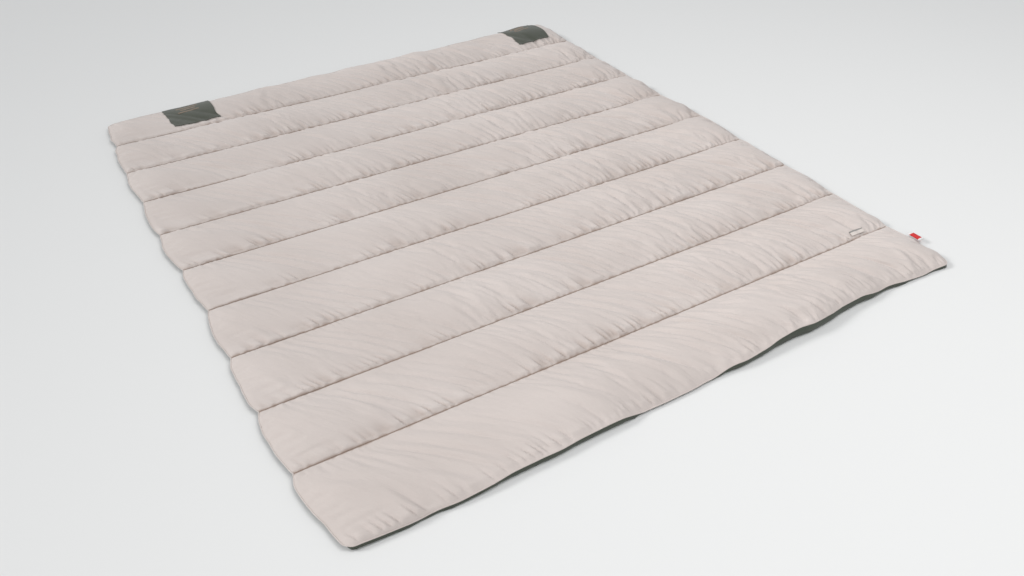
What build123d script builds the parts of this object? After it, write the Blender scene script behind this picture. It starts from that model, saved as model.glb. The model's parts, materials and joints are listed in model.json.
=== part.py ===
from build123d import *
import os

# A two-person camp quilt lying open on flat ground.
# X runs along the quilting seams, Y along the length (positive towards the end with
# the two corner patches), Z is up and z = 0 is the ground.  Millimetres.
# Ten stuffed channels lie side by side, and each pair is joined by one quilting seam.
# A seam is the line that the quilt folds on, so every channel is made separately.

os.makedirs("parts", exist_ok=True)

# ---- driving dimensions -------------------------------------------------------------
QUILT_WIDTH = 1800.0
QUILT_LENGTH = 2100.0
CHANNEL_COUNT = 10
LOFT = 48.0               # crest of a channel above the ground
SEAM_HEIGHT = 13.0        # middle of every seam and hem above the ground
SEAM_THICKNESS = 3.0      # the two fabrics and what is pinched between them
SEAM_GAP = 2.0            # from the middle of a seam to the edge of a channel
SEAM_CORE_RADIUS = 1.6    # stitched core of a quilting seam
FABRIC = 1.0              # stand-in thickness of one layer of shell fabric
FILL_CLEARANCE = 0.4      # between the fill and the inside of the shell
FILL_SETBACK = 14.0       # fill stops this far short of a seam
END_ROUNDING = 80.0       # length over which a channel swells from its side hem
UNDERSIDE_RISE = 25.0     # width of the slope from the flat underside up to a seam

PATCH_WIDTH = 170.0
PATCH_DEPTH = 174.0
PATCH_THICKNESS = 1.0
PATCH_CENTRES_X = {"left": -625.0, "right": 765.0}

LABEL_WIDTH = 54.0
LABEL_DEPTH = 22.0
LABEL_X = 783.0           # middle of the care label
LABEL_CHANNEL = 9
LABEL_SETBACK = 4.0       # from the seam to the label's near edge

TAG_WIDTH = 40.0
TAG_REACH = 17.0          # how far the folded tag stands out of the side hem
TAG_THICKNESS = 2.0
TAG_Y = -918.0
TAG_PIVOT_OFFSET = 1.3    # tag's turning line outside the side hem

# ---- sizes worked out from those ----------------------------------------------------
PITCH = QUILT_LENGTH / CHANNEL_COUNT
HALF_CHANNEL = PITCH / 2 - SEAM_GAP
HALF_WIDTH = QUILT_WIDTH / 2 - SEAM_GAP
HALF_SEAM = SEAM_THICKNESS / 2
STITCHED_TOP = SEAM_HEIGHT + HALF_SEAM
STITCHED_BOTTOM = SEAM_HEIGHT - HALF_SEAM
APPLIED_GAP = 0.1         # between the curved shell and what is sewn on it


def channel_y(number):
    """Middle of a channel, counted from 1 at the patch end."""
    return QUILT_LENGTH / 2 - PITCH * (number - 0.5)


def seam_y(number):
    """Quilting seam between channels number and number + 1."""
    return QUILT_LENGTH / 2 - PITCH * number


def across_section():
    """Outline across a channel: arched top, flat underside, thin stitched edges."""
    arch = ThreePointArc((-HALF_CHANNEL, STITCHED_TOP), (0, LOFT), (HALF_CHANNEL, STITCHED_TOP))
    base = Polyline(
        (HALF_CHANNEL, STITCHED_TOP),
        (HALF_CHANNEL, STITCHED_BOTTOM),
        (HALF_CHANNEL - UNDERSIDE_RISE, 0),
        (UNDERSIDE_RISE - HALF_CHANNEL, 0),
        (-HALF_CHANNEL, STITCHED_BOTTOM),
        (-HALF_CHANNEL, STITCHED_TOP),
    )
    return make_face([arch, base])


def along_section():
    """Outline along a channel: full height, falling in a round to each side hem."""
    above = LOFT + SEAM_THICKNESS
    shoulder = HALF_WIDTH - END_ROUNDING
    left = TangentArc((-shoulder, above), (-HALF_WIDTH, STITCHED_TOP), tangent=(-1, 0))
    right = TangentArc((shoulder, above), (HALF_WIDTH, STITCHED_TOP), tangent=(1, 0))
    top = Line((-shoulder, above), (shoulder, above))
    base = Polyline(
        (HALF_WIDTH, STITCHED_TOP),
        (HALF_WIDTH, STITCHED_BOTTOM),
        (HALF_WIDTH - UNDERSIDE_RISE, 0),
        (UNDERSIDE_RISE - HALF_WIDTH, 0),
        (-HALF_WIDTH, STITCHED_BOTTOM),
        (-HALF_WIDTH, STITCHED_TOP),
    )
    return make_face([left, top, right, base])


def pillow(across, along):
    """Solid that has one outline across the channel and the other along it."""
    long_bar = extrude(Plane.YZ * across, QUILT_WIDTH, both=True)
    wide_bar = extrude(Plane.XZ * along, PITCH, both=True)
    return long_bar & wide_bar


def shell_and_fill():
    """Top fabric, back fabric and fill of one channel, with the channel's middle at y = 0."""
    across, along = across_section(), along_section()
    outside = pillow(across, along)
    cavity = pillow(offset(across, -FABRIC), offset(along, -FABRIC))
    shell = outside - cavity
    upper_half = Pos(0, 0, SEAM_HEIGHT + LOFT) * Box(2 * QUILT_WIDTH, PITCH, 2 * LOFT)
    top_fabric = shell & upper_half
    back_fabric = shell - upper_half

    inset = FABRIC + FILL_CLEARANCE
    limits = Box(2 * (HALF_WIDTH - FILL_SETBACK), 2 * (HALF_CHANNEL - FILL_SETBACK), 4 * LOFT)
    fill = pillow(offset(across, -inset), offset(along, -inset)) & limits
    return top_fabric, back_fabric, fill


def applied_to_crown(width, y_low, y_high, thickness):
    """Cloth sewn flat on a channel's arched top between two distances from its middle."""
    arch_height = LOFT - STITCHED_TOP
    radius = (HALF_CHANNEL**2 + arch_height**2) / (2 * arch_height)
    centre = (0, LOFT - radius)
    inner = Pos(*centre) * Circle(radius + APPLIED_GAP)
    outer = Pos(*centre) * Circle(radius + APPLIED_GAP + thickness)
    window = Pos((y_low + y_high) / 2, LOFT / 2) * Rectangle(y_high - y_low, 2 * LOFT)
    return extrude(Plane.YZ * ((outer - inner) & window), width / 2, both=True)


def bar(x_size, y_size, x, y):
    """Straight length of hem at seam height."""
    return Pos(x, y, SEAM_HEIGHT) * Box(x_size, y_size, SEAM_THICKNESS)


def side_hems(number):
    """Left and right hem of one channel."""
    x = QUILT_WIDTH / 2 - SEAM_GAP / 2
    hems = [bar(SEAM_GAP, 2 * HALF_CHANNEL, side * x, channel_y(number)) for side in (-1, 1)]
    return Compound(children=hems)


def end_hem(side):
    """Hem along the patch end (side 1) or the foot end (side -1)."""
    return bar(QUILT_WIDTH, SEAM_GAP, 0, side * (QUILT_LENGTH / 2 - SEAM_GAP / 2))


def quilting_seam(number):
    """Stitched core of a quilting seam, on the line that the seam folds about."""
    core = Cylinder(SEAM_CORE_RADIUS, 2 * HALF_WIDTH, rotation=(0, 90, 0))
    return Pos(0, seam_y(number), SEAM_HEIGHT) * core


def flag_tag():
    """Folded ribbon in the right side hem; its rounded root lies on its turning line."""
    root = Pos(0, 0) * Circle(TAG_THICKNESS / 2)
    blade = Pos(TAG_REACH / 2, 0) * Rectangle(TAG_REACH, TAG_THICKNESS)
    ribbon = extrude(Plane.XZ * (root + blade), TAG_WIDTH / 2, both=True)
    return Pos(QUILT_WIDTH / 2 + TAG_PIVOT_OFFSET, TAG_Y, SEAM_HEIGHT) * ribbon


def save(shape, node):
    export_step(shape, f"parts/{node}.step")


# ---- the ten channels ---------------------------------------------------------------
top_fabric, back_fabric, fill = shell_and_fill()
for number in range(1, CHANNEL_COUNT + 1):
    place = Pos(0, channel_y(number), 0)
    save(place * top_fabric, f"top_panel_{number:02d}")
    save(place * back_fabric, f"back_panel_{number:02d}")
    save(place * fill, f"fill_{number:02d}")
    save(side_hems(number), f"side_hem_{number:02d}")

# ---- seams and hems -----------------------------------------------------------------
for number in range(1, CHANNEL_COUNT):
    save(quilting_seam(number), f"quilting_seam_{number}")
save(end_hem(1), "patch_end_hem")
save(end_hem(-1), "foot_end_hem")

# ---- what is sewn on ----------------------------------------------------------------
patch = applied_to_crown(PATCH_WIDTH, -PATCH_DEPTH / 2, PATCH_DEPTH / 2, PATCH_THICKNESS)
for side, x in PATCH_CENTRES_X.items():
    save(Pos(x, channel_y(1), 0) * patch, f"corner_patch_{side}")

label_low = -HALF_CHANNEL + LABEL_SETBACK
label = applied_to_crown(LABEL_WIDTH, label_low, label_low + LABEL_DEPTH, FABRIC)
save(Pos(LABEL_X, channel_y(LABEL_CHANNEL), 0) * label, "care_label")

save(flag_tag(), "flag_tag")
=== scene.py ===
# %% [markdown]
# # A camp quilt, cell by cell
# This quilt is two sheets of cloth, ecru on top and dark green underneath, sewn together
# along nine straight quilting lines and stuffed with wadding between them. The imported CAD
# model gives every size and says which body each piece moves with. This notebook only
# gives the pieces their real look: puffed, gathered cloth, stitches and woven finishes.

# %% Load the frame and keep the CAD box
import json
import math
import random

import bmesh
import bpy
import numpy as np
from mathutils import Matrix, Vector

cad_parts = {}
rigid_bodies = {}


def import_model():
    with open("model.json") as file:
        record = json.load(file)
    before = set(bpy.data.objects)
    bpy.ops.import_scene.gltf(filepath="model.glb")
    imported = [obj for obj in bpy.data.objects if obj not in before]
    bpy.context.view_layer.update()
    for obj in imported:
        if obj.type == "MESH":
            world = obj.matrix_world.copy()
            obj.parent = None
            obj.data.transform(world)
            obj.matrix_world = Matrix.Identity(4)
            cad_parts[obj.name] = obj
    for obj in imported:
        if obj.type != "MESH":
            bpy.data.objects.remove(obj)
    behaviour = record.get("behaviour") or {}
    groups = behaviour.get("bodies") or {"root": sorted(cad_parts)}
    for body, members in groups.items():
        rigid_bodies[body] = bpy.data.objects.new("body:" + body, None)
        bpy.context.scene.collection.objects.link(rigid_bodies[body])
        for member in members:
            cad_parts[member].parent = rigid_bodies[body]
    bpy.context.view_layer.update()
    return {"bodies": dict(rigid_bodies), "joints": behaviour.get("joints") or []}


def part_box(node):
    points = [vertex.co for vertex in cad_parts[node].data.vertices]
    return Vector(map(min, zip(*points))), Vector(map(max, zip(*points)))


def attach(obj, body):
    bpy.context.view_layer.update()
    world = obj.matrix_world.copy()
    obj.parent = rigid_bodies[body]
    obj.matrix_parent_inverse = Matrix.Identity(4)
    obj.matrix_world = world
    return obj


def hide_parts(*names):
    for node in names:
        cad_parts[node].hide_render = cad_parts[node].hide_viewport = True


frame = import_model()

# %% [markdown]
# ## Sizes
# Nothing is measured twice. The seam lines are where the CAD joints turn, the hems are
# where the CAD hems are, and the height of a channel is the top of a CAD panel. The names
# below are used all through the notebook, so a change in the frame moves everything.

# %% Read the driving sizes from the frame
CHANNELS = sum(body.startswith("channel_") for body in frame["bodies"])
folds = {j["name"]: j for j in frame["joints"]}
SEAM_Z = folds["seam_1_fold"]["pos_m"][2]
END_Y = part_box("patch_end_hem")[1].y
SIDE_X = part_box("side_hem_01")[1].x
PITCH = 2 * END_Y / CHANNELS
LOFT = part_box("top_panel_01")[1].z
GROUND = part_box("back_panel_01")[0].z
print("channels", CHANNELS, "pitch", round(PITCH, 4), "half width", round(SIDE_X, 4), "loft", LOFT)


def seam_y(number):
    """Y of seam number; 0 is the patch end's hem and CHANNELS is the foot end's hem."""
    return END_Y - PITCH * number


def two_digits(name, number):
    return f"{name}_{number:02d}"


def show(name, data, *materials):
    """Puts a mesh, light or camera in the scene as an object at the origin."""
    for material in materials:
        data.materials.append(material)
    made = bpy.data.objects.new(name, data)
    bpy.context.scene.collection.objects.link(made)
    return made


def built(name, build, *materials):
    """Ends a bmesh and puts its mesh in the scene."""
    mesh = bpy.data.meshes.new(name)
    build.to_mesh(mesh)
    build.free()
    return show(name, mesh, *materials)


def parts_of(geometry, kind):
    """The verts, edges or faces among what an operator gave back."""
    return [g for g in geometry if isinstance(g, kind)]


# %% [markdown]
# ## Camera
# The view is that of someone standing at the near left corner and looking across the
# quilt. The camera is level from side to side, so two angles describe it: a turn about Z
# and a tilt down. A quaternion from a direction sets both at once.

# %% Camera at the corner
HEADING = math.radians(31.5)       # turned from +Y towards +X
TILT = math.radians(36.49)         # down from the horizon
STANDPOINT = (-1.1694, -2.1137, 1.3872)
LENS = 31.03
camera_data = bpy.data.cameras.new("camera")
camera_data.lens = LENS
camera = show("camera", camera_data)
camera.location = STANDPOINT
level = math.cos(TILT)
look = Vector((math.sin(HEADING) * level, math.cos(HEADING) * level, -math.sin(TILT)))
camera.rotation_euler = look.to_track_quat("-Z", "Y").to_euler()
bpy.context.scene.camera = camera
print("camera looks along", tuple(round(v, 3) for v in look))

# %% [markdown]
# ## Studio
# A pale floor and soft light. The main light is a sun with a very wide angle, like a
# bright window: it is even over the whole quilt, and it comes in low from the left, so that
# each little fold has a light side and a shaded side. Two large area lights and a pale
# world fill the shadows.

# %% Floor, lights and world
FLOOR_SIZE = 40.0
FLOOR_PAINT = (0.72, 0.72, 0.71, 1)
SKY = (0.95, 0.97, 1.0, 1)
SKY_STRENGTH = 0.50
WINDOW_STRENGTH = 1.75
WINDOW_ANGLE = math.radians(14)
WINDOW_AIM = Vector((0.80, -0.50, -0.50))
LAMP_SIZE = 3.0


def area_light(name, place, aim, watts):
    data = bpy.data.lights.new(name, "AREA")
    data.shape = "DISK"
    data.size = LAMP_SIZE
    data.energy = watts
    light = show(name, data)
    light.location = place
    light.rotation_euler = (Vector(aim) - Vector(place)).to_track_quat("-Z", "Y").to_euler()


paint = bpy.data.materials.new("studio_floor_paint")
paint.use_nodes = True
paint_shader = paint.node_tree.nodes["Principled BSDF"]
paint_shader.inputs["Base Color"].default_value = FLOOR_PAINT
paint_shader.inputs["Roughness"].default_value = 0.9

floor_build = bmesh.new()
bmesh.ops.create_grid(floor_build, x_segments=1, y_segments=1, size=FLOOR_SIZE / 2)
floor = built("studio_floor", floor_build, paint)

window_data = bpy.data.lights.new("window_light", "SUN")
window_data.energy = WINDOW_STRENGTH
window_data.angle = WINDOW_ANGLE
window_light = show("window_light", window_data)
window_light.rotation_euler = WINDOW_AIM.to_track_quat("-Z", "Y").to_euler()
area_light("soft_overhead", (0.6, -1.6, 3.6), (0.1, -0.3, 0.0), watts=62)
area_light("front_fill", (-1.5, -4.5, 2.2), (0.0, -0.6, 0.0), watts=30)

world = bpy.data.worlds.new("studio_air")
world.use_nodes = True
air = world.node_tree.nodes["Background"]
air.inputs["Color"].default_value = SKY
air.inputs["Strength"].default_value = SKY_STRENGTH
bpy.context.scene.world = world
bpy.context.scene.view_settings.view_transform = "Standard"

# %% [markdown]
# ## Finishes
# Every cloth here is a plain weave: one thread over, one under. Two wave patterns at
# right angles, multiplied, give that little chequer of raised threads. They read the
# piece's own UV map, which is laid out in metres on the flat cloth, so the weave follows
# every fold. Noise at two larger scales adds slubs in the yarn and slow changes of tone.

# %% A small tool set for node materials
TURN = 6.2832                      # a wave texture's Scale times this is waves per metre


class Cloth:
    """Builds one woven material, node by node, with a Principled shader at its end."""

    def __init__(self, name, roughness, sheen):
        self.material = bpy.data.materials.new(name)
        self.material.use_nodes = True
        self.tree = self.material.node_tree
        self.shader = self.tree.nodes["Principled BSDF"]
        self.shader.inputs["Roughness"].default_value = roughness
        self.shader.inputs["Sheen Weight"].default_value = sheen
        self.shader.inputs["Sheen Roughness"].default_value = 0.5
        self.shader.inputs["Specular IOR Level"].default_value = 0.25

    def node(self, kind, **values):
        made = self.tree.nodes.new(kind)
        for key, value in values.items():
            if key in made.inputs:
                made.inputs[key].default_value = value
            else:
                setattr(made, key, value)
        return made

    def join(self, out_socket, in_socket):
        self.tree.links.new(out_socket, in_socket)
        return out_socket

    def place(self, source="UV", scale=(1, 1, 1), turn=0.0):
        """A coordinate, stretched and turned; source is UV or Object."""
        coordinate = self.node("ShaderNodeTexCoord")
        mapping = self.node("ShaderNodeMapping")
        mapping.inputs["Scale"].default_value = scale
        mapping.inputs["Rotation"].default_value = (0, 0, turn)
        self.join(coordinate.outputs[source], mapping.inputs["Vector"])
        return mapping.outputs["Vector"]

    def slanting(self, turn, stretch):
        """UV coordinates turned, then drawn out, for creases that run one way."""
        coordinate = self.node("ShaderNodeTexCoord")
        mapping = self.node("ShaderNodeMapping", vector_type="TEXTURE")
        mapping.inputs["Rotation"].default_value = (0, 0, turn)
        mapping.inputs["Scale"].default_value = (1, stretch, 1)
        self.join(coordinate.outputs["UV"], mapping.inputs["Vector"])
        return mapping.outputs["Vector"]

    def noise(self, vector, scale, detail=3.0, roughness=0.55):
        made = self.node("ShaderNodeTexNoise", Scale=scale, Detail=detail, Roughness=roughness)
        self.join(vector, made.inputs["Vector"])
        return made.outputs["Fac"]

    def maths(self, operation, a, b):
        made = self.node("ShaderNodeMath", operation=operation)
        for value, socket in ((a, made.inputs[0]), (b, made.inputs[1])):
            if isinstance(value, (int, float)):
                socket.default_value = value
            else:
                self.join(value, socket)
        return made.outputs[0]

    def threads(self, vector, per_metre):
        """Raised threads of a plain weave."""
        waves = []
        for direction in ("X", "Y"):
            wave = self.node("ShaderNodeTexWave", bands_direction=direction, Scale=per_metre / TURN)
            wave.inputs["Distortion"].default_value = 0.4
            wave.inputs["Detail"].default_value = 1.0
            self.join(vector, wave.inputs["Vector"])
            waves.append(wave.outputs["Fac"])
        return self.maths("MULTIPLY", waves[0], waves[1])

    def tones(self, factor, low, high, start=0.35, end=0.65):
        ramp = self.node("ShaderNodeValToRGB")
        ramp.color_ramp.elements[0].position = start
        ramp.color_ramp.elements[1].position = end
        ramp.color_ramp.elements[0].color = (*low, 1)
        ramp.color_ramp.elements[1].color = (*high, 1)
        self.join(factor, ramp.inputs["Fac"])
        return ramp.outputs["Color"]

    def mix(self, factor, a, b, blend="MIX"):
        made = self.node("ShaderNodeMix", data_type="RGBA", blend_type=blend)
        for value, socket in ((factor, made.inputs[0]), (a, made.inputs[6]), (b, made.inputs[7])):
            if isinstance(value, (int, float)):
                socket.default_value = value
            elif isinstance(value, tuple):
                socket.default_value = (*value, 1)
            else:
                self.join(value, socket)
        return made.outputs[2]

    def finish(self, colour, heights):
        """Colour to the shader, and one bump for each (height, strength, depth)."""
        self.join(colour, self.shader.inputs["Base Color"])
        normal = None
        for height, strength, depth in heights:
            bump = self.node("ShaderNodeBump", Strength=strength, Distance=depth)
            self.join(height, bump.inputs["Height"])
            if normal is not None:
                self.join(normal, bump.inputs["Normal"])
            normal = bump.outputs["Normal"]
        self.join(normal, self.shader.inputs["Normal"])
        return self.material


print("cloth tools ready")

# %% [markdown]
# ### Ecru top cloth
# A washed cotton: matte, warm, with a faint fuzz that the sheen gives. The thread that
# quilts it is brown, and within a couple of millimetres of a seam the cloth is painted
# brown: partly the thread's own colour, partly painted shade for the pinched valley and
# the deepest creases. Each point of the cloth carries an attribute, "near_seam", worked
# out when the cloth is cut, and the material reads it.

# %% Ecru cloth
ECRU_LIGHT = (0.605, 0.543, 0.510)
ECRU_DEEP = (0.525, 0.463, 0.430)
THREAD_AND_SHADE_BROWN = (0.300, 0.215, 0.170)


def ecru_cloth():
    cloth = Cloth("ecru_cotton", roughness=0.92, sheen=0.25)
    uv = cloth.place("UV")
    slow = cloth.noise(uv, 3.0, 2.0)
    yarn = cloth.noise(cloth.place("UV", scale=(1, 7, 1)), 260.0, 2.0)
    crumple = cloth.noise(cloth.slanting(0.5, 5.0), 75.0, 3.0, 0.55)
    weave = cloth.threads(uv, 1500.0)
    tone = cloth.tones(slow, ECRU_DEEP, ECRU_LIGHT, 0.3, 0.7)
    tone = cloth.mix(0.35, tone, cloth.tones(yarn, ECRU_DEEP, ECRU_LIGHT, 0.2, 0.8))
    near = cloth.node("ShaderNodeAttribute", attribute_name="near_seam")
    # The brown near a seam is the thread's colour plus painted shade in the pinched valley and creases.
    tone = cloth.mix(near.outputs["Fac"], tone, THREAD_AND_SHADE_BROWN)
    return cloth.finish(tone, [(crumple, 0.45, 0.004), (yarn, 0.15, 0.0006), (weave, 0.25, 0.0003)])


top_cloth = ecru_cloth()
print("made", top_cloth.name)

# %% [markdown]
# ### Green back cloth, patches, threads and ribbons
# The back is the same weave in a dark green. The corner patches are a coarser, stiffer
# cloth, a little greyer. The ribbons, the embroidery and the sewn hems are woven too, so
# one function makes them all, each with its own colours, count and roughness. The quilting
# thread is spun, so it has a slanted twist instead of a weave.

# %% Green, patch, thread and ribbon cloths
def woven(name, light, deep, roughness, sheen, per_metre, bump=0.3, source="UV"):
    cloth = Cloth(name, roughness, sheen)
    uv = cloth.place(source)
    slow = cloth.noise(uv, 9.0, 3.0)
    yarn = cloth.noise(cloth.place(source, scale=(1, 6, 1)), 300.0, 2.0)
    tone = cloth.tones(slow, deep, light, 0.3, 0.7)
    tone = cloth.mix(0.4, tone, cloth.tones(yarn, deep, light, 0.2, 0.8))
    weave = cloth.threads(uv, per_metre)
    crumple = cloth.noise(uv, 55.0, 4.0, 0.6)
    return cloth.finish(tone, [(crumple, 0.25, 0.003), (weave, bump, 0.0004)])


def spun(name, light, deep, roughness, twist_per_metre):
    """Thread: a slanted twist and a little fluff, on Object coordinates."""
    cloth = Cloth(name, roughness, 0.3)
    place = cloth.place("Object", turn=0.6)
    twist = cloth.node("ShaderNodeTexWave", bands_direction="X", Scale=twist_per_metre / TURN)
    cloth.join(place, twist.inputs["Vector"])
    fluff = cloth.noise(place, 900.0, 2.0)
    tone = cloth.tones(cloth.maths("MULTIPLY", twist.outputs["Fac"], fluff), deep, light, 0.1, 0.6)
    return cloth.finish(tone, [(twist.outputs["Fac"], 0.4, 0.0004)])


green_cloth = woven("dark_green_cotton", (0.078, 0.088, 0.068), (0.052, 0.062, 0.047),
                    roughness=0.9, sheen=0.15, per_metre=1500.0)
patch_cloth = woven("grey_green_patch", (0.082, 0.087, 0.069), (0.060, 0.066, 0.051),
                    roughness=0.85, sheen=0.2, per_metre=900.0)
label_cloth = woven("label_satin", (0.66, 0.60, 0.56), (0.58, 0.52, 0.48),
                    roughness=0.55, sheen=0.1, per_metre=2400.0, bump=0.15)
label_edge = woven("label_grey_edge", (0.30, 0.29, 0.27), (0.22, 0.21, 0.20),
                   roughness=0.6, sheen=0.1, per_metre=2400.0, bump=0.15)
tan_thread = woven("tan_embroidery", (0.230, 0.175, 0.125), (0.170, 0.125, 0.090),
                   roughness=0.75, sheen=0.2, per_metre=1800.0, bump=0.5)
hem_cloth = woven("ecru_hem", ECRU_LIGHT, ECRU_DEEP,
                  roughness=0.9, sheen=0.2, per_metre=1500.0, source="Object")
brown_thread = spun("brown_thread", (0.34, 0.25, 0.19), (0.20, 0.14, 0.10),
                    roughness=0.7, twist_per_metre=1800.0)
red_ribbon = woven("red_ribbon", (0.62, 0.030, 0.028), (0.48, 0.018, 0.018),
                   roughness=0.6, sheen=0.1, per_metre=2200.0, bump=0.2)
white_ribbon = woven("white_ribbon", (0.82, 0.80, 0.78), (0.72, 0.70, 0.68),
                     roughness=0.65, sheen=0.1, per_metre=2200.0, bump=0.2)
print("finishes", [m.name for m in bpy.data.materials])

# %% [markdown]
# ## The outline of the quilt as it lies
# A soft quilt never lies as a perfect rectangle. Its sides bow out, the ends of the seams
# pull the hem in to a row of scallops, and the foot end rolls under in places, which
# brings the green back into view. A few values, joined by a smooth curve, say how far the
# hem wanders. The seam lines stay straight, because they are what the quilt folds on.

# %% A smooth random wave
KNOTS = 2000                       # random values in a wave
FIRST_KNOT = 300                   # the one at distance 0, so that distances may be negative


def eased(t):
    """0 to 1 with a level start and a level end."""
    return t * t * (3 - 2 * t)


def uneven(distance, spacing, seed):
    """A smooth random wave between -1 and 1 that changes over about one spacing."""
    knots = np.random.default_rng(seed).uniform(-1, 1, KNOTS)
    place = distance / spacing + FIRST_KNOT
    i = np.floor(place).astype(int)
    t = eased(place - i)
    return knots[i] * (1 - t) + knots[i + 1] * t


print("a wave over three spacings", uneven(np.arange(4) * 0.5, 0.5, 1).round(2))


# %% How the hem wanders
def smooth_curve(points):
    """A function through (place, value) pairs, easing from each to the next."""
    places, values = zip(*sorted(points))

    def at(x):
        x = np.clip(x, places[0], places[-1])
        i = np.clip(np.searchsorted(places, x, side="right") - 1, 0, len(places) - 2)
        low, high = np.take(places, i), np.take(places, i + 1)
        t = eased((x - low) / (high - low))
        return np.take(values, i) * (1 - t) + np.take(values, i + 1) * t

    return at


# Pairs of a place along the hem and how far the hem lies outside its straight line there.
left_bow = smooth_curve([(1.05, 0.007), (0.61, 0.024), (0.20, 0.027), (-0.17, 0.012),
                         (-0.60, 0.022), (-0.84, 0.020), (-1.05, -0.002)])
right_bow = smooth_curve([(1.05, 0.020), (0.60, 0.008), (0.20, 0.006), (0.01, 0.012),
                          (-0.40, 0.002), (-0.84, -0.014), (-1.05, -0.012)])
foot_bow = smooth_curve([(-0.90, 0.018), (-0.74, 0.026), (-0.20, 0.016), (0.0, 0.014),
                         (0.31, 0.006), (0.64, -0.012), (0.90, 0.002)])
head_bow = smooth_curve([(-0.90, -0.030), (-0.3, -0.008), (0.3, 0.004), (0.90, 0.020)])
# Pairs of a place along the foot end's hem and its height above the ground.
foot_hem_z = smooth_curve([(-0.90, 0.012), (-0.72, 0.009), (-0.50, 0.016), (-0.26, 0.017),
                           (-0.18, 0.006), (0.0, 0.006), (0.10, 0.016), (0.31, 0.028),
                           (0.55, 0.021), (0.64, 0.012), (0.78, 0.006), (0.90, 0.010)])
SCALLOP = 0.010                    # from the end of a seam out to the middle of a channel
RIGHT_SCALLOP = 0.7                # the right hem's scallops, compared with the left hem's
HEM_WAVE = 0.0035                  # small waves along every hem
CORNER_RADIUS = 0.018              # how far the four corners are drawn in
print("foot hem lifts to", round(float(foot_hem_z(0.31)) * 1000, 1), "mm")

# %% [markdown]
# ## Cutting and laying the top cloth
# The top is one sheet, so it starts as one grid: create_grid makes the squares and their
# UV map, and its points are then laid where the sewn cloth will be. Numbers on each point
# remember where it was on the flat cloth. "across" counts channels from the patch end,
# so a whole number is a seam. The sheet is split along the seams, so that each channel
# can gather in its own way. Before the simulation each channel is only a low arch.

# %% Lay a sheet over the channels
STEP = 0.006                       # size of a square
ON_LINE = 1e-4                     # nearer than this, a point is on a seam or a hem
COLUMNS = round(2 * SIDE_X / STEP)
ROWS = round(PITCH / STEP)


def from_side_hem(along):
    """Metres along the cloth to the nearer side hem."""
    return np.minimum(along, 1 - along) * 2 * SIDE_X


def write(mesh, **attributes):
    """Stores a number on each point, under each name."""
    for attribute, values in attributes.items():
        mesh.attributes.new(attribute, "FLOAT", "POINT").data.foreach_set("value", values)


def lay_sheet(name, rise, columns=COLUMNS, rows=ROWS):
    """A grid over the quilt; rise(in_channel, along, channel) is the arch above the hems."""

    def on_seam(vert):
        place = (0.5 - vert.co.y) * CHANNELS
        return abs(place - round(place)) < ON_LINE

    build = bmesh.new()
    build.loops.layers.uv.new("UVMap")
    bmesh.ops.create_grid(build, x_segments=columns, y_segments=rows * CHANNELS, size=0.5,
                          calc_uvs=True)
    seam_rows = [e for e in build.edges if not e.is_boundary and all(map(on_seam, e.verts))]
    bmesh.ops.split_edges(build, edges=seam_rows)
    sheet = built(name, build)
    mesh = sheet.data
    flat = np.empty(len(mesh.vertices) * 3)
    mesh.vertices.foreach_get("co", flat)
    flat = flat.reshape(-1, 3)
    along = np.round((flat[:, 0] + 0.5) * columns) / columns
    across = np.round((0.5 - flat[:, 1]) * rows * CHANNELS) / rows
    corners = np.empty(len(mesh.loops), dtype=int)
    mesh.loops.foreach_get("vertex_index", corners)
    channel = np.empty(len(flat))
    channel[corners] = np.repeat(np.floor(across[corners].reshape(-1, 4).mean(axis=1)) + 1, 4)
    in_channel = across - (channel - 1)

    x_plain = (along * 2 - 1) * SIDE_X
    y_plain = END_Y - across * PITCH
    scallop = SCALLOP * (np.abs(np.sin(math.pi * in_channel)) ** 0.7 - 0.6)
    left = -SIDE_X - left_bow(y_plain) - scallop - HEM_WAVE * uneven(y_plain, 0.035, 71)
    right = SIDE_X + right_bow(y_plain) + RIGHT_SCALLOP * scallop - HEM_WAVE * uneven(y_plain, 0.040, 72)
    x = left + (right - left) * along
    to_head = np.clip(1 - across, 0, 1)
    to_foot = np.clip(across - (CHANNELS - 1), 0, 1)
    head = to_head * (head_bow(x_plain) + 2 * HEM_WAVE * uneven(x_plain, 0.07, 73))
    foot = to_foot * (foot_bow(x_plain) + HEM_WAVE * uneven(x_plain, 0.06, 74))
    y = y_plain + head - foot

    from_end = np.minimum(across, CHANNELS - across) * PITCH
    a = np.clip(1 - from_side_hem(along) / CORNER_RADIUS, 0, 1)
    b = np.clip(1 - from_end / CORNER_RADIUS, 0, 1)
    diagonal = np.sqrt(a * a + b * b + 1e-12)
    rounding = np.where((a > 0) & (b > 0), 1 - np.maximum(a, b) / diagonal, 0)
    x -= np.sign(x) * a * rounding * CORNER_RADIUS
    y -= np.sign(y) * b * rounding * CORNER_RADIUS

    hem_z = SEAM_Z + (foot_hem_z(x_plain) - SEAM_Z) * to_foot
    z = hem_z + rise(in_channel, along, channel)
    mesh.vertices.foreach_set("co", np.column_stack([x, y, z]).ravel())
    write(mesh, across=across, along=along, channel=channel, base=hem_z)
    metres = np.empty(len(mesh.loops) * 2)
    mesh.uv_layers[0].data.foreach_get("uv", metres)
    metres = metres.reshape(-1, 2) * (2 * SIDE_X, 2 * END_Y)
    mesh.uv_layers[0].data.foreach_set("uv", metres.ravel())
    return sheet


def read(mesh, attribute):
    values = np.empty(len(mesh.vertices))
    mesh.attributes[attribute].data.foreach_get("value", values)
    return values


def points_of(mesh):
    values = np.empty(len(mesh.vertices) * 3)
    mesh.vertices.foreach_get("co", values)
    return values.reshape(-1, 3)


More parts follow.
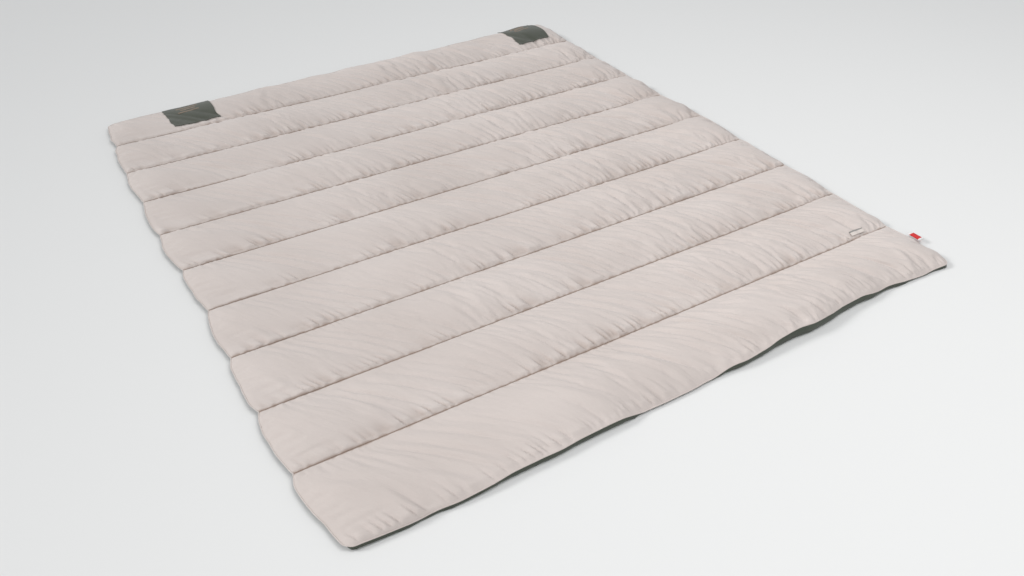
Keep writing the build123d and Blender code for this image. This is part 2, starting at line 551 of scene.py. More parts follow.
END_ROUND = 0.13                   # a channel swells from its side hem over this length
ARCH = 0.44                        # share of the final loft that the arch starts with
SEAM_FULLNESS = 0.95               # below 1 the arch leaves a seam more steeply
PATCH_END_FULLNESS = 0.65
FOOT_END_FULLNESS = 0.3


def quarter_round(t):
    """A quarter circle: 0 at 0, and 1 from 1 on."""
    return np.sqrt(1 - (1 - np.clip(t, 0, 1)) ** 2)


def low_arch(in_channel, along, channel):
    """Half a sine across each channel, plumper at the two ends, rounded off at the sides."""
    sine = np.abs(np.sin(math.pi * in_channel))
    fullness = np.where((channel == 1) & (in_channel < 0.5), PATCH_END_FULLNESS, SEAM_FULLNESS)
    fullness = np.where((channel == CHANNELS) & (in_channel > 0.5), FOOT_END_FULLNESS, fullness)
    arch = sine ** fullness
    swell = quarter_round(from_side_hem(along) / END_ROUND)
    plump = 1 + 0.06 * np.sin(5.1 * along + 2.3 * channel) + 0.05 * np.sin(13.7 * along + channel)
    return ARCH * (LOFT - SEAM_Z) * arch * swell * plump


top_sheet = lay_sheet("top_sheet", low_arch)
print("top sheet", len(top_sheet.data.vertices), "points,", COLUMNS, "by", ROWS * CHANNELS, "squares")

# %% [markdown]
# ## Quilting it: pins and a sideways drag
# Blender's Cloth holds the points of its pin group still, or moves them where the mesh
# moves them. The seams and hems are pinned. Quilting also drags the cloth a little along
# each seam, and that drag is what turns the gathers slantwise. It is a shape key here: over
# the first frames it slides the two seams of a channel along themselves, opposite ways.

# %% Pin the seams and key the drag
DRAG = 0.013                       # how far the two seams of a channel slide apart
BUNCHING = 0.005                   # extra cloth pushed from the left half to the right
WOBBLE = 0.003                     # the drag is a little uneven
STILL_ENDS = 0.10                  # share of the width over which the drag dies out at a side
SETTLE_FRAMES = 20


def pin_and_drag(sheet):
    """Pins the seams and hems, and slides the cloth from one shape key to the next."""
    mesh = sheet.data
    across, along, channel = (read(mesh, name) for name in ("across", "along", "channel"))
    on_seam = np.abs(across - np.round(across)) < ON_LINE
    held = on_seam | (along < ON_LINE) | (along > 1 - ON_LINE)
    pins = sheet.vertex_groups.new(name="sewn")
    pins.add([int(i) for i in np.flatnonzero(held)], 1.0, "REPLACE")

    points = points_of(mesh)
    away = eased(np.clip(np.minimum(along, 1 - along) / STILL_ENDS, 0, 1))
    slide = DRAG * (across - channel + 0.5) * away
    bunch = BUNCHING * np.sin(math.pi * along)
    wobble = WOBBLE * np.sin(17 * along + 2.1 * np.round(across) + 4 * channel) * away
    points[:, 0] += slide + bunch + wobble
    sheet.shape_key_add(name="as laid")
    dragged = sheet.shape_key_add(name="dragged by the needle")
    dragged.data.foreach_set("co", points.ravel())
    dragged.value = 0
    dragged.keyframe_insert("value", frame=1)
    dragged.value = 1
    dragged.keyframe_insert("value", frame=SETTLE_FRAMES // 2)
    return held


def mark_smooth_places(sheet, levels=12):
    """A vertex group: 1 where the cloth lies smooth, near the left, and 0 where it gathers most."""
    along, channel = read(sheet.data, "along"), read(sheet.data, "channel")
    rightwards = np.clip((along - 0.10) / 0.50, 0, 1)
    patchy = (0.22 * np.sin(7.3 * along + 1.9 * channel)
              + 0.14 * np.sin(19.0 * along + 3.1 * channel))
    weight = np.round(np.clip(0.85 - 0.85 * rightwards + patchy, 0, 1) * levels) / levels
    smooth = sheet.vertex_groups.new(name="smooth")
    for level in np.unique(weight):
        smooth.add([int(i) for i in np.flatnonzero(weight == level)], float(level), "REPLACE")


RUFFLE = 0.0002


def ruffle(sheet, held, seed):
    """Tiny uneven starts, so that the cloth has somewhere to begin to buckle."""
    chance = np.random.default_rng(seed)
    points = points_of(sheet.data)
    points[~held, 2] += chance.normal(0, RUFFLE, (~held).sum())
    sheet.data.vertices.foreach_set("co", points.ravel())


held = pin_and_drag(top_sheet)
print("pinned", int(held.sum()), "of", len(held), "points")

# %% [markdown]
# ## Stuffing it: the cloth simulation
# Cloth that is cut a little too large for its seams has to buckle, and that is what a
# gather is. A negative shrink factor makes the cloth grow by a few percent, more where it
# gathers most, and an even pressure from inside, as the wadding gives, holds it up. There
# is no gravity, because the wadding and not the air carries the cloth.

# %% Simulate and keep the result
MOST_GROWTH = 0.050
LEAST_GROWTH = 0.028
STUFFING = dict(
    vertex_group_mass="sewn", quality=5, mass=0.3, tension_stiffness=15, compression_stiffness=15,
    shear_stiffness=5, bending_stiffness=0.5, tension_damping=1, compression_damping=1,
    shear_damping=1, bending_damping=0.1, air_damping=0.1, use_pressure=True,
    uniform_pressure_force=14, vertex_group_shrink="smooth", shrink_min=-MOST_GROWTH,
    shrink_max=-LEAST_GROWTH)


def puff(sheet):
    """Runs the simulation to its last frame."""
    cloth = sheet.modifiers.new("stuffing", "CLOTH")
    for setting, value in STUFFING.items():
        setattr(cloth.settings, setting, value)
    cloth.settings.effector_weights.gravity = 0
    cloth.collision_settings.use_collision = False
    cloth.point_cache.frame_start = 1
    cloth.point_cache.frame_end = SETTLE_FRAMES
    for step in range(1, SETTLE_FRAMES + 1):
        bpy.context.scene.frame_set(step)


def keep_shape(sheet):
    """Replaces the object's mesh with what its modifiers and keys show now."""
    graph = bpy.context.evaluated_depsgraph_get()
    settled = bpy.data.meshes.new_from_object(sheet.evaluated_get(graph))
    settled.name = sheet.name
    sheet.modifiers.clear()
    sheet.shape_key_clear()
    sheet.data = settled


def from_seam(across):
    """Metres across the cloth to the nearest seam, counting an end's hem as one."""
    return np.abs(across - np.round(across)) * PITCH


def to_edge(mesh):
    """How far each point is, along the cloth, from the nearest seam or hem."""
    across, along = read(mesh, "across"), read(mesh, "along")
    return np.minimum(from_seam(across), from_side_hem(along))


def within_loft(mesh, points, slope=0.3, height=0.004, give=0.004):
    """The wadding never lets the cloth sink below its seams, nor rise far above the loft."""
    lowest = read(mesh, "base") + np.minimum(to_edge(mesh) * slope, height)
    points[:, 2] = np.maximum(points[:, 2], lowest)
    over = np.clip(points[:, 2] - LOFT, 0, None)
    points[:, 2] += give * np.tanh(over / give) - over
    mesh.vertices.foreach_set("co", points.ravel())


ruffle(top_sheet, held, seed=11)
mark_smooth_places(top_sheet)
puff(top_sheet)
keep_shape(top_sheet)
bpy.context.scene.frame_set(1)
within_loft(top_sheet.data, points_of(top_sheet.data))
crest = points_of(top_sheet.data)[:, 2]
print("simulated", "crest", round(float(crest.max()), 4),
      "usual crest", round(float(np.percentile(crest, 95)), 4))

# %% [markdown]
# ## The back cloth
# The back lies on the ground, so it needs no simulation. It shares its outline with the
# top, point for point, and drops from each seam and hem to the ground in a short round,
# with small puckers along the seams that die out within a few centimetres.

# %% Lay the back cloth
BACK_DROP = 0.045                  # width of the round from a seam down to the ground
PUCKER = 0.0007
PUCKER_FADE = 0.018                # the puckers die out over about this distance
CLEARANCE = 0.0008                 # from the ground to the cloth
FOOT_FACE = 0.10                   # the foot end's upright face is taken up over this length
FOOT_BULGE = 0.004


def laid_back(in_channel, along, channel):
    return np.zeros_like(in_channel)


def shape_back(sheet, outline_from):
    """Drops the cloth to the ground, and turns the foot end's strip upright."""
    mesh = sheet.data
    across, along, base = read(mesh, "across"), read(mesh, "along"), read(mesh, "base")
    edge_points = points_of(outline_from.data)
    to_seam, to_side = from_seam(across), from_side_hem(along)
    nearest = np.minimum(to_seam, to_side)
    round_down = quarter_round(nearest / BACK_DROP)
    fade = np.exp(-to_seam / PUCKER_FADE) * np.clip(to_side / 0.02, 0, 1)
    pucker = PUCKER * fade * (1 + np.sin(310 * along + 40 * np.sin(7 * along + np.round(across))))
    lying = GROUND + CLEARANCE + pucker
    own = points_of(mesh)
    own[:, 2] = base * (1 - round_down) + lying * round_down

    to_foot = (CHANNELS - across) * PITCH
    face = base - lying
    down = np.clip(to_foot / face, 0, 1)
    inward = np.clip(to_foot - face, 0, None) * FOOT_FACE / (FOOT_FACE - face)
    foot_y = own[:, 1] - to_foot + inward - FOOT_BULGE * np.sin(math.pi * down)
    upright = (to_foot < FOOT_FACE) & (nearest == to_seam)
    foot_z = base + (lying - base) * eased(down)
    own[:, 1] = np.where(upright, foot_y, own[:, 1])
    own[:, 2] = np.where(upright & (to_foot < 2 * face), foot_z, np.minimum(own[:, 2], base))
    edge = nearest < 1e-6
    own[edge] = edge_points[edge]
    mesh.vertices.foreach_set("co", own.ravel())


back_sheet = lay_sheet("back_sheet", laid_back)
shape_back(back_sheet, top_sheet)
print("back sheet lies at", round(float(points_of(back_sheet.data)[:, 2].min()), 4))

# %% [markdown]
# ## Cutting the sheets into channels
# Each channel moves with its own body, so each sheet is parted exactly on the seam lines,
# which is where the bodies turn. A copy of the sheet loses every point outside the
# channel, one level of subdivision rounds the gathers, and the open side is closed with a
# lining: bridge_loops joins the two long edges and holes_fill closes the ends.

# %% One channel out of a sheet
def cut_channel(sheet, number, name, round_off):
    """The part of a sheet that is one channel, subdivided once if round_off is true."""
    build = bmesh.new()
    build.from_mesh(sheet.data)
    channel = build.verts.layers.float["channel"]
    outside = [v for v in build.verts if round(v[channel]) != number]
    bmesh.ops.delete(build, geom=outside, context="VERTS")
    piece = built(name, build)
    if round_off:
        smooth = piece.modifiers.new("round", "SUBSURF")
        smooth.levels = smooth.render_levels = 1
        smooth.uv_smooth = "NONE"
        smooth.boundary_smooth = "PRESERVE_CORNERS"
        keep_shape(piece)
    return piece


def line_with(piece):
    """Closes the open side with a lining and turns every face outwards."""
    build = bmesh.new()
    build.from_mesh(piece.data)
    across = build.verts.layers.float["across"]
    for face in build.faces:
        face.smooth = True
    rim = [e for e in build.edges if e.is_boundary]
    for edge in rim:
        edge.smooth = False
    seams = [e for e in rim if all(abs(v[across] - round(v[across])) < 1e-3 for v in e.verts)]
    bmesh.ops.bridge_loops(build, edges=seams)
    open_edges = [e for e in build.edges if e.is_boundary]
    bmesh.ops.holes_fill(build, edges=open_edges, sides=0)
    bmesh.ops.recalc_face_normals(build, faces=build.faces)
    still_open = sum(e.is_boundary for e in build.edges)
    build.to_mesh(piece.data)
    build.free()
    return still_open


print("each channel is cut", round(PITCH, 3), "wide and", round(2 * SIDE_X, 3), "long")

# %% [markdown]
# ## Brown thread and painted shade at the seams
# The brown thread and the shade in the pinched cloth are painted as a thin, broken brown
# line on each seam: the thread's own colour, with painted shade for the pinched valley. Its
# width wanders, and as painted shade it runs a little way up the deepest creases. It is
# only a tint, so it is a number on each point of the cloth, which the ecru material reads.

# %% Mark what lies near a seam
SEAM_TINT = 0.0050                 # usual half width of the brown line
RAGGED = 0.75                      # how much its width wanders
# Painted shade: the deepest creases are darkened with this share of the brown.
CREASE_PAINTED_SHADE = 0.38                 # the deepest creases take this share of the brown


def mark_seams(piece):
    """Writes near_seam, 1 on a quilting line and 0 a few millimetres away: thread colour and painted
    shade, plus painted shade in creases.
    """
    across = read(piece.data, "across")
    nearest = np.round(across)
    side = np.where(across > nearest, 1, -1)
    distance = read(piece.data, "along") * 2 * SIDE_X
    ragged = np.empty_like(across)
    for number in np.unique(nearest):
        for which in (-1, 1):
            here = (nearest == number) & (side == which)
            ragged[here] = uneven(distance[here], 0.009, int(900 + 2 * number + which))
    near = np.clip(1 - from_seam(across) / (SEAM_TINT * (1 + RAGGED * ragged)), 0, 1) ** 1.2
    # Painted shade in the crease valleys.
    near = np.maximum(near, CREASE_PAINTED_SHADE * read(piece.data, "crease"))
    near[(nearest == 0) | (nearest == CHANNELS)] = 0
    write(piece.data, near_seam=near)


print("brown line about", 2 * SEAM_TINT * 1000, "mm wide")

# %% [markdown]
# ## Pieces sewn on the top
# The patches and the care label hold the cloth flat under them, so their places are needed
# before the gathers are added. The CAD gives each place. The patches follow the wandering
# hem, and their own stitching draws them up a little smaller than they were cut.

# %% Where the patches and the label lie on the flat cloth
# For each node sewn on a channel: its move along Y, and how much narrower and shorter it is.
SEWN_ON = {1: (("corner_patch_left", 0.010, 0.008, 0.0),
               ("corner_patch_right", 0.002, 0.022, 0.014)),
           9: (("care_label", 0.0, 0.0, 0.0),)}
SEWN_FLAT = 0.08                   # share of the gathers left under a sewn-on piece


def flat_place(x, y):
    """Where a point of the plan lies on the flat cloth, as (across, along)."""
    return (END_Y - y) / PITCH, (x + SIDE_X) / (2 * SIDE_X)


def ranges(node, shift_y, narrower, shorter):
    """A sewn-on node's place on the flat cloth."""
    low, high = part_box(node)
    near, left = flat_place(low.x, low.y + shift_y + shorter)
    far, right = flat_place(high.x - narrower, high.y + shift_y)
    return (far, near), (left, right)


def sewn_flat(number, across, along, margin=0.020):
    """1 on free cloth and SEWN_FLAT under the pieces sewn on this channel."""
    free = np.ones_like(across)
    for placing in SEWN_ON.get(number, ()):
        (far, near), (left, right) = ranges(*placing)
        outside = np.maximum(np.maximum(far - across, across - near) * PITCH,
                             np.maximum(left - along, along - right) * 2 * SIDE_X)
        free = np.minimum(free, SEWN_FLAT + (1 - SEWN_FLAT) * np.clip(outside / margin, 0, 1))
    return free


print("sewn on", [placing[0] for placings in SEWN_ON.values() for placing in placings])

# %% [markdown]
# ## Soft folds
# Where the cloth has been pushed together by hand it lies in larger, softer folds than the
# gathers. There are only a few, so each is listed one by one: a rounded ridge with a shallow
# crease beside it, both fading out at their ends. Sculpting would work too, but numbers
# can be changed again later.

# %% Folds, one row each
# The channel, the place along and across it (0 to 1), the length and half width in metres,
# the slant, and the height.
FOLDS = ((10, 0.075, 0.82, 0.070, 0.012, 0.4, 0.0040), (10, 0.135, 0.80, 0.080, 0.012, 1.0, 0.0045),
         (10, 0.235, 0.78, 0.090, 0.013, 1.2, 0.0045), (10, 0.040, 0.45, 0.090, 0.014, 1.6, 0.0035),
         (10, 0.335, 0.62, 0.120, 0.013, 0.8, 0.0035), (10, 0.455, 0.60, 0.130, 0.013, 0.8, 0.0045),
         (10, 0.560, 0.45, 0.140, 0.014, 0.9, 0.0045), (10, 0.660, 0.50, 0.120, 0.013, 0.8, 0.0040),
         (10, 0.930, 0.70, 0.090, 0.013, -0.2, 0.0045), (1, 0.570, 0.45, 0.120, 0.013, 0.1, 0.0050),
         (1, 0.545, 0.50, 0.110, 0.012, 0.2, 0.0045), (1, 0.285, 0.60, 0.100, 0.015, -0.2, 0.0030),
         (9, 0.120, 0.75, 0.070, 0.012, 0.6, 0.0035), (8, 0.045, 0.78, 0.060, 0.012, 0.8, 0.0035),
         (7, 0.050, 0.80, 0.060, 0.011, 0.6, 0.0035), (6, 0.480, 0.45, 0.130, 0.014, 0.9, 0.0040))


def folds_on(number, distance, cross):
    """Height of this channel's folds at each point."""
    height = np.zeros_like(distance)
    for channel, along, down, length, half, slant, fold_height in FOLDS:
        if channel != number:
            continue
        dx = distance - along * 2 * SIDE_X
        dy = cross - (down - 0.5) * PITCH
        scale = math.hypot(1, slant)
        lengthwise = (dy + slant * dx) / scale
        crosswise = (dx - slant * dy) / scale
        bell = np.exp(-(lengthwise / length * 2) ** 2)
        ridge = np.exp(-(crosswise / half) ** 2)
        crease = np.exp(-((crosswise - 1.6 * half) / (0.8 * half)) ** 2)
        height += fold_height * bell * (ridge - 0.6 * crease)
    return height


print("folds", len(FOLDS))

# %% [markdown]
# ## Gathers and creases
# The simulation gives the large, soft buckles. The fine gathers are finer than its squares,
# so they are added as relief on the subdivided cloth. Random waves drawn out along one
# slanted direction make the gathers. At a seam the thread pinches the cloth, so narrow
# creases start there, deeper on the side of a channel that faces the foot end, and die out
# within a few centimetres.

# %% Relief on one channel
PUCKER_HEIGHT = 0.0090             # creases on the side of a channel that faces the foot end
PUCKER_SHARE = 0.50                # height of those on the other side, compared with them
PUCKER_REACH = (0.0095, 0.0060)    # how far from the seam they are highest, on the two sides
PUCKER_SPACING = (0.0170, 0.0130)  # from one crease to the next, on the two sides
PUCKER_WIDTH = 0.55                # narrower creases have a smaller value, at most 1
PUCKER_SLANT = 0.35
GATHER_HEIGHT = 0.0042
SLANT = 0.60                       # sideways travel of a gather for each unit across
HEM_FADE = 0.012                   # the relief is full at this distance from a seam or hem


def streaks(distance, other, spacing, length, seed):
    """A smooth random field between -1 and 1, narrow one way and long the other."""
    knots = np.random.default_rng(seed).uniform(-1, 1, (900, 120))
    a, b = distance / spacing + 100, other / length + 20
    i, j = np.floor(a).astype(int), np.floor(b).astype(int)
    s, t = eased(a - i), eased(b - j)
    low = knots[i, j] * (1 - s) + knots[i + 1, j] * s
    high = knots[i, j + 1] * (1 - s) + knots[i + 1, j + 1] * s
    return low * (1 - t) + high * t


def pucker(piece, number):
    """Small creases at the seams, and fine slanted gathers over the whole channel."""
    mesh = piece.data
    points = points_of(mesh)
    across, along = read(mesh, "across"), read(mesh, "along")
    distance = along * 2 * SIDE_X
    cross = (across - number + 0.5) * PITCH
    to_seam = from_seam(across)
    from_edge = np.clip(to_edge(mesh) / HEM_FADE, 0, 1)

    slanted = distance - SLANT * cross + 0.012 * uneven(distance, 0.09, 40 + number)
    near_foot = cross > 0
    reach = to_seam / np.where(near_foot, *PUCKER_REACH)
    shape = reach * np.exp(1 - reach)
    steep = np.where(near_foot, distance - PUCKER_SLANT * cross, slanted)
    wave = np.where(near_foot, uneven(steep, PUCKER_SPACING[0], 500 + number),
                    uneven(steep, PUCKER_SPACING[1], 600 + number))
    clusters = np.where(near_foot, 0.62 + 0.75 * uneven(distance, 0.075, 60 + number),
                        PUCKER_SHARE * (0.8 + 0.6 * uneven(distance, 0.10, 80 + number)))
    valley = eased(np.clip(1 - np.abs(wave) / PUCKER_WIDTH, 0, 1))
    creases = PUCKER_HEIGHT * shape * (0.55 - valley) * np.clip(clusters, 0.10, None)

    fine = streaks(slanted, cross, 0.0105, 0.060, 200 + number)
    wide = streaks(slanted, cross, 0.024, 0.10, 300 + number)
    gathers = 0.75 * np.abs(fine) - 0.40 + 0.85 * np.abs(wide) - 0.45
    busy = np.clip(0.30 + 0.80 * np.clip((along - 0.15) / 0.5, 0, 1)
                   + 0.45 * streaks(distance, cross, 0.17, 0.13, 400 + number), 0.08, 1.2)
    rest = 0.4 + 0.6 * np.clip(to_seam / 0.03, 0, 1)
    flat = sewn_flat(number, across, along)
    relief = creases + GATHER_HEIGHT * gathers * busy * rest + folds_on(number, distance, cross)
    points[:, 2] += flat * from_edge * relief
    within_loft(mesh, points)
    # crease is the crease-valley mask that mark_seams turns into painted shade.
    write(mesh, crease=np.clip(valley * clusters * shape, 0, 1) * near_foot * from_edge * flat)


print("creases up to", PUCKER_HEIGHT * 1000, "mm, gathers about", GATHER_HEIGHT * 1000, "mm")

# %% [markdown]
# ## The ten channels
# Everything is ready, so one loop makes the top and the back of each channel. A copy of
# the top is kept before it is lined, because the patches and the label are cut from it.

# %% Make the channels
open_tops = {}
for number in range(1, CHANNELS + 1):
    body = two_digits("channel", number)
    top = cut_channel(top_sheet, number, two_digits("top_cloth", number), round_off=True)
    pucker(top, number)
    mark_seams(top)
    open_tops[number] = top.data.copy()
    gaps = line_with(top)
    top.data.materials.append(top_cloth)
    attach(top, body)
    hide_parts(two_digits("top_panel", number), two_digits("fill", number))

    back = cut_channel(back_sheet, number, two_digits("back_cloth", number), round_off=False)
    gaps += line_with(back)
    back.data.materials.append(green_cloth)
    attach(back, body)
    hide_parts(two_digits("back_panel", number))
    print(body, "top faces", len(top.data.polygons), "back faces", len(back.data.polygons),
          "open edges", gaps)

# %% [markdown]
# ## Hems
# Where top and back meet at the sides and ends, the two cloths are sewn face to face and
# turned out, which leaves a firm rolled edge about three millimetres thick. A curve with
# a round bevel is the simplest way to make it, and it follows the same points that the
# cloth's edge has, so it never leaves the cloth.

# %% Roll the hems
HEM_RADIUS = 0.0015


def edge_line(sheet, chosen, order):
    """Points of the sheet where chosen is true, in the order of another array."""
    points = points_of(sheet.data)
    picked = np.flatnonzero(chosen)
    return points[picked[np.argsort(order[picked])]]


def rolled(name, lines, radius, material):
    """One mesh of round-ended rolls, one along each line of points."""
    curve = bpy.data.curves.new(name, "CURVE")
    curve.dimensions = "3D"
    curve.bevel_depth = radius
    curve.bevel_resolution = 1
    curve.use_fill_caps = True
    for line in lines:
        spline = curve.splines.new("POLY")
        spline.points.add(len(line) - 1)
        spline.points.foreach_set("co", np.column_stack([line, np.ones(len(line))]).ravel())
    shaper = show(name + "_curve", curve)
    graph = bpy.context.evaluated_depsgraph_get()
    mesh = bpy.data.meshes.new_from_object(shaper.evaluated_get(graph))
    mesh.name = name
    bpy.data.objects.remove(shaper)
    mesh.materials.clear()
    for face in mesh.polygons:
        face.use_smooth = True
    return show(name, mesh, material)


across, along, channel = (read(back_sheet.data, name) for name in ("across", "along", "channel"))
for number in range(1, CHANNELS + 1):
    within = channel == number
    sides = [edge_line(back_sheet, within & (along < ON_LINE), across),
             edge_line(back_sheet, within & (along > 1 - ON_LINE), across)]
    hem = rolled(two_digits("rolled_hem", number), sides, HEM_RADIUS, hem_cloth)
    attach(hem, two_digits("channel", number))
    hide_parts(two_digits("side_hem", number))
LAST_CHANNEL = two_digits("channel", CHANNELS)
for name, node, at, body in (("rolled_hem_patch_end", "patch_end_hem", 0, "channel_01"),
                             ("rolled_hem_foot_end", "foot_end_hem", CHANNELS, LAST_CHANNEL)):
    line = edge_line(back_sheet, np.abs(across - at) < ON_LINE, along)
    hem = rolled(name, [line], HEM_RADIUS, hem_cloth)
    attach(hem, body)
    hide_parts(node)

# %% [markdown]
# ## Quilting stitches
# A seam is a row of stitches, each about four millimetres long, sunk in the valley. One
# stitch is a stretched sphere with few faces. It is repeated by bmesh.ops.duplicate, with
# a small random turn, so that the row looks sewn and not drawn.

# %% Sew the quilting lines
STITCH_PITCH = 0.0048
STITCH_LENGTH = 0.0040
STITCH_RADIUS = 0.0007
STITCH_TURN = 0.10                 # radians, to either side
ROW_INSET = 0.004                  # from the hem to the first stitch


def stitch_row(name, start, end, material, chance):
    """Stitches from start to end, lying along the line between them."""
    start, end = Vector(start), Vector(end)
    direction = (end - start).normalized()
    count = int((end - start).length / STITCH_PITCH)
    build = bmesh.new()
    bmesh.ops.create_uvsphere(build, u_segments=5, v_segments=4, radius=1.0)
    bmesh.ops.rotate(build, verts=build.verts, matrix=Matrix.Rotation(math.pi / 2, 3, "Y"))
    bmesh.ops.scale(build, verts=build.verts, vec=(STITCH_LENGTH / 2, STITCH_RADIUS, STITCH_RADIUS))
    onto_line = Vector((1, 0, 0)).rotation_difference(direction).to_matrix()
    bmesh.ops.rotate(build, verts=build.verts, matrix=onto_line)
    pattern = list(build.verts) + list(build.edges) + list(build.faces)
    for i in range(count):
        copy = bmesh.ops.duplicate(build, geom=pattern)
        verts = parts_of(copy["geom"], bmesh.types.BMVert)
        turn = Matrix.Rotation(chance.uniform(-STITCH_TURN, STITCH_TURN), 3, "Z")
        bmesh.ops.rotate(build, verts=verts, matrix=turn)
        bmesh.ops.translate(build, verts=verts, vec=start + direction * STITCH_PITCH * (i + 0.5))
    bmesh.ops.delete(build, geom=pattern, context="VERTS")
    for face in build.faces:
        face.smooth = True
    return built(name, build, material)


chance = random.Random(4)
for number in range(1, CHANNELS):
    height = SEAM_Z + STITCH_RADIUS
    seam_x = points_of(back_sheet.data)[np.abs(across - number) < ON_LINE, 0]
    first = (seam_x.min() + ROW_INSET, seam_y(number), height)
    last = (seam_x.max() - ROW_INSET, seam_y(number), height)
    row = stitch_row(f"quilting_stitches_{number}", first, last, brown_thread, chance)
    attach(row, two_digits("channel", number + 1))
    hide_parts(f"quilting_seam_{number}")
print("stitches in a row, about", int(2 * SIDE_X / STITCH_PITCH))

# %% [markdown]
# ## Corner patches and care label
# Two dark patches are sewn on the patch end, and a small satin label lies near the last
# quilting line. Each is sewn down all round, so it has the shape of the cloth under it. The
# piece starts as a copy of that part of the top cloth. It is smoothed and lifted a little,
# and Solidify gives it a thickness on the outer side. The three plain bars embroidered on
# each patch are made in the same way, only thicker.

# %% A piece cut from the cloth below it
SEWN_SMOOTHING = 22                # a stiffer cloth bridges the smallest creases
SEWN_LIFT = 0.0012


def cut_from_top(name, number, across_range, along_range, thickness, material, lift=SEWN_LIFT):
    """A sewn-on piece over part of one channel; the ranges are on the flat cloth."""
    build = bmesh.new()
    build.from_mesh(open_tops[number])
    across, along = (build.verts.layers.float[layer] for layer in ("across", "along"))

    def inside(v):
        return (across_range[0] <= v[across] <= across_range[1]
                and along_range[0] <= v[along] <= along_range[1])

    bmesh.ops.delete(build, geom=[v for v in build.verts if not inside(v)], context="VERTS")
    for _ in range(SEWN_SMOOTHING):
        bmesh.ops.smooth_vert(build, verts=build.verts, factor=0.5, use_axis_z=True)
    bmesh.ops.translate(build, verts=build.verts, vec=(0, 0, lift))
    flat_area = sum(f.calc_area() for f in build.faces)
    rim_x = [v.co.x for v in build.verts if v.is_boundary]
    width = max(rim_x) - min(rim_x)
    piece = built(name, build)
    thick = piece.modifiers.new("thickness", "SOLIDIFY")
    thick.thickness = thickness
    thick.offset = 1.0
    keep_shape(piece)
    piece.data.materials.clear()
    piece.data.materials.append(material)
    return piece, (width, flat_area / width)


print("sewn-on pieces lie", SEWN_LIFT * 1000, "mm above the cloth")

# %% Sew on the patches and the label
PATCH_THICK = 0.0014
BAR_THICK = PATCH_THICK + 0.0006
LABEL_THICK = 0.0008
LABEL_LIFT = 0.0020
LABEL_EDGE = 0.0065                # width of the label's grey woven edge
BAR_SIZES = ((0.46, 0.30), (0.34, 0.42), (0.46, 0.54))   # width and place, as shares of a patch
BAR_START = 0.15                   # the bars' places are counted from this share of the patch
BAR_DEPTH = 0.055                  # share of the channel


def bar_on(placing, width, place):
    """The part of a patch, as ranges on the flat cloth, that one embroidered bar covers."""
    (near, far), (left, right) = ranges(*placing)
    middle, half = (left + right) / 2, (right - left) * width / 2
    start = near + (far - near) * (place - BAR_START)
    return (start, start + BAR_DEPTH), (middle - half, middle + half)


for placing in SEWN_ON[1]:
    node = placing[0]
    side = node.rpartition("_")[2]
    patch, flat = cut_from_top(f"sewn_patch_{side}", 1, *ranges(*placing), PATCH_THICK, patch_cloth)
    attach(patch, "channel_01")
    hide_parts(node)
    print(patch.name, "faces", len(patch.data.polygons), "flat size", [round(v, 3) for v in flat])
    for i, (width, place) in enumerate(BAR_SIZES):
        bar, _ = cut_from_top(f"stitched_bar_{side}_{i + 1}", 1, *bar_on(placing, width, place),
                              BAR_THICK, tan_thread)
        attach(bar, "channel_01")

label, flat = cut_from_top("care_ribbon", 9, *ranges(*SEWN_ON[9][0]), LABEL_THICK, label_cloth,
                           lift=LABEL_LIFT)
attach(label, two_digits("channel", 9))
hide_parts("care_label")
label.data.materials.append(label_edge)
label_across = read(label.data, "across")
edge_line_at = label_across.min() + LABEL_EDGE / PITCH
for face in label.data.polygons:
    if max(label_across[v] for v in face.vertices) <= edge_line_at:
        face.material_index = 1
print("label flat size", [round(v, 4) for v in flat])

# %% [markdown]
# ## Flag tag
# The flag tag is a ribbon folded in half and caught in the side hem: its profile is a flat
# loop, drawn as a row of points and extruded along the hem, then given a thickness.

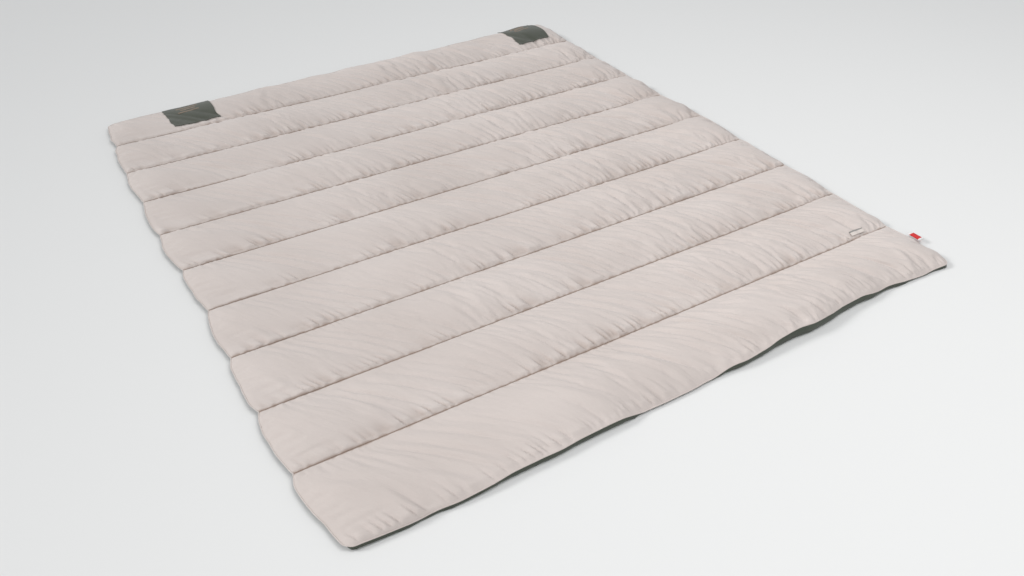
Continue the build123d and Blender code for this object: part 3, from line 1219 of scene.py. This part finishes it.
# %% Flag tag
RIBBON_THICK = 0.0006
TIP_POINTS = 7                     # points round the fold of the ribbon
TIP_ROOM = 1.2                     # the next three are shares of the loop's half height
SIDE_HEIGHT = 0.9
ROOT_HEIGHT = 0.5
BANDS = ((0.14, white_ribbon), (0.72, red_ribbon), (0.14, white_ribbon))   # shares of the width


def folded_ribbon(name, low, high):
    """A loop of ribbon: out, round and back, extruded along Y."""
    middle = (low.z + high.z) / 2
    half = (high.z - low.z) / 2 - RIBBON_THICK / 2
    root = low.x + half
    tip = high.x - half * TIP_ROOM
    build = bmesh.new()
    side = [(root, half * ROOT_HEIGHT), ((root + tip) / 2, half * SIDE_HEIGHT)]
    angles = [math.pi / 2 - math.pi * i / (TIP_POINTS - 1) for i in range(TIP_POINTS)]
    fold = [(tip + half * math.cos(angle), half * math.sin(angle)) for angle in angles]
    profile = side + fold + [(x, -height) for x, height in reversed(side)]
    outline = [build.verts.new((x, low.y, middle + height)) for x, height in profile]
    edges = [build.edges.new(pair) for pair in zip(outline, outline[1:])]
    width = high.y - low.y
    finishes = (red_ribbon, white_ribbon)
    for share, finish in BANDS:
        new = bmesh.ops.extrude_edge_only(build, edges=edges)["geom"]
        verts = parts_of(new, bmesh.types.BMVert)
        bmesh.ops.translate(build, verts=verts, vec=(0, width * share, 0))
        for face in parts_of(new, bmesh.types.BMFace):
            face.material_index = finishes.index(finish)
        edges = [e for e in parts_of(new, bmesh.types.BMEdge) if all(v in verts for v in e.verts)]
    bmesh.ops.solidify(build, geom=build.faces, thickness=RIBBON_THICK)
    bmesh.ops.recalc_face_normals(build, faces=build.faces)
    for face in build.faces:
        face.smooth = True
    uv = build.loops.layers.uv.new("UVMap")
    for face in build.faces:
        for loop in face.loops:
            loop[uv].uv = (loop.vert.co.x, loop.vert.co.y)
    return built(name, build, *finishes)


tag = folded_ribbon("flag_ribbon", *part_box("flag_tag"))
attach(tag, "tag")
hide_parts("flag_tag")
print("tag", len(tag.data.polygons), "faces")

# %% [markdown]
# ## Tidy up
# The two whole sheets were only patterns, so they go.

# %% Tidy up, finish
for pattern in (top_sheet, back_sheet):
    bpy.data.objects.remove(pattern)
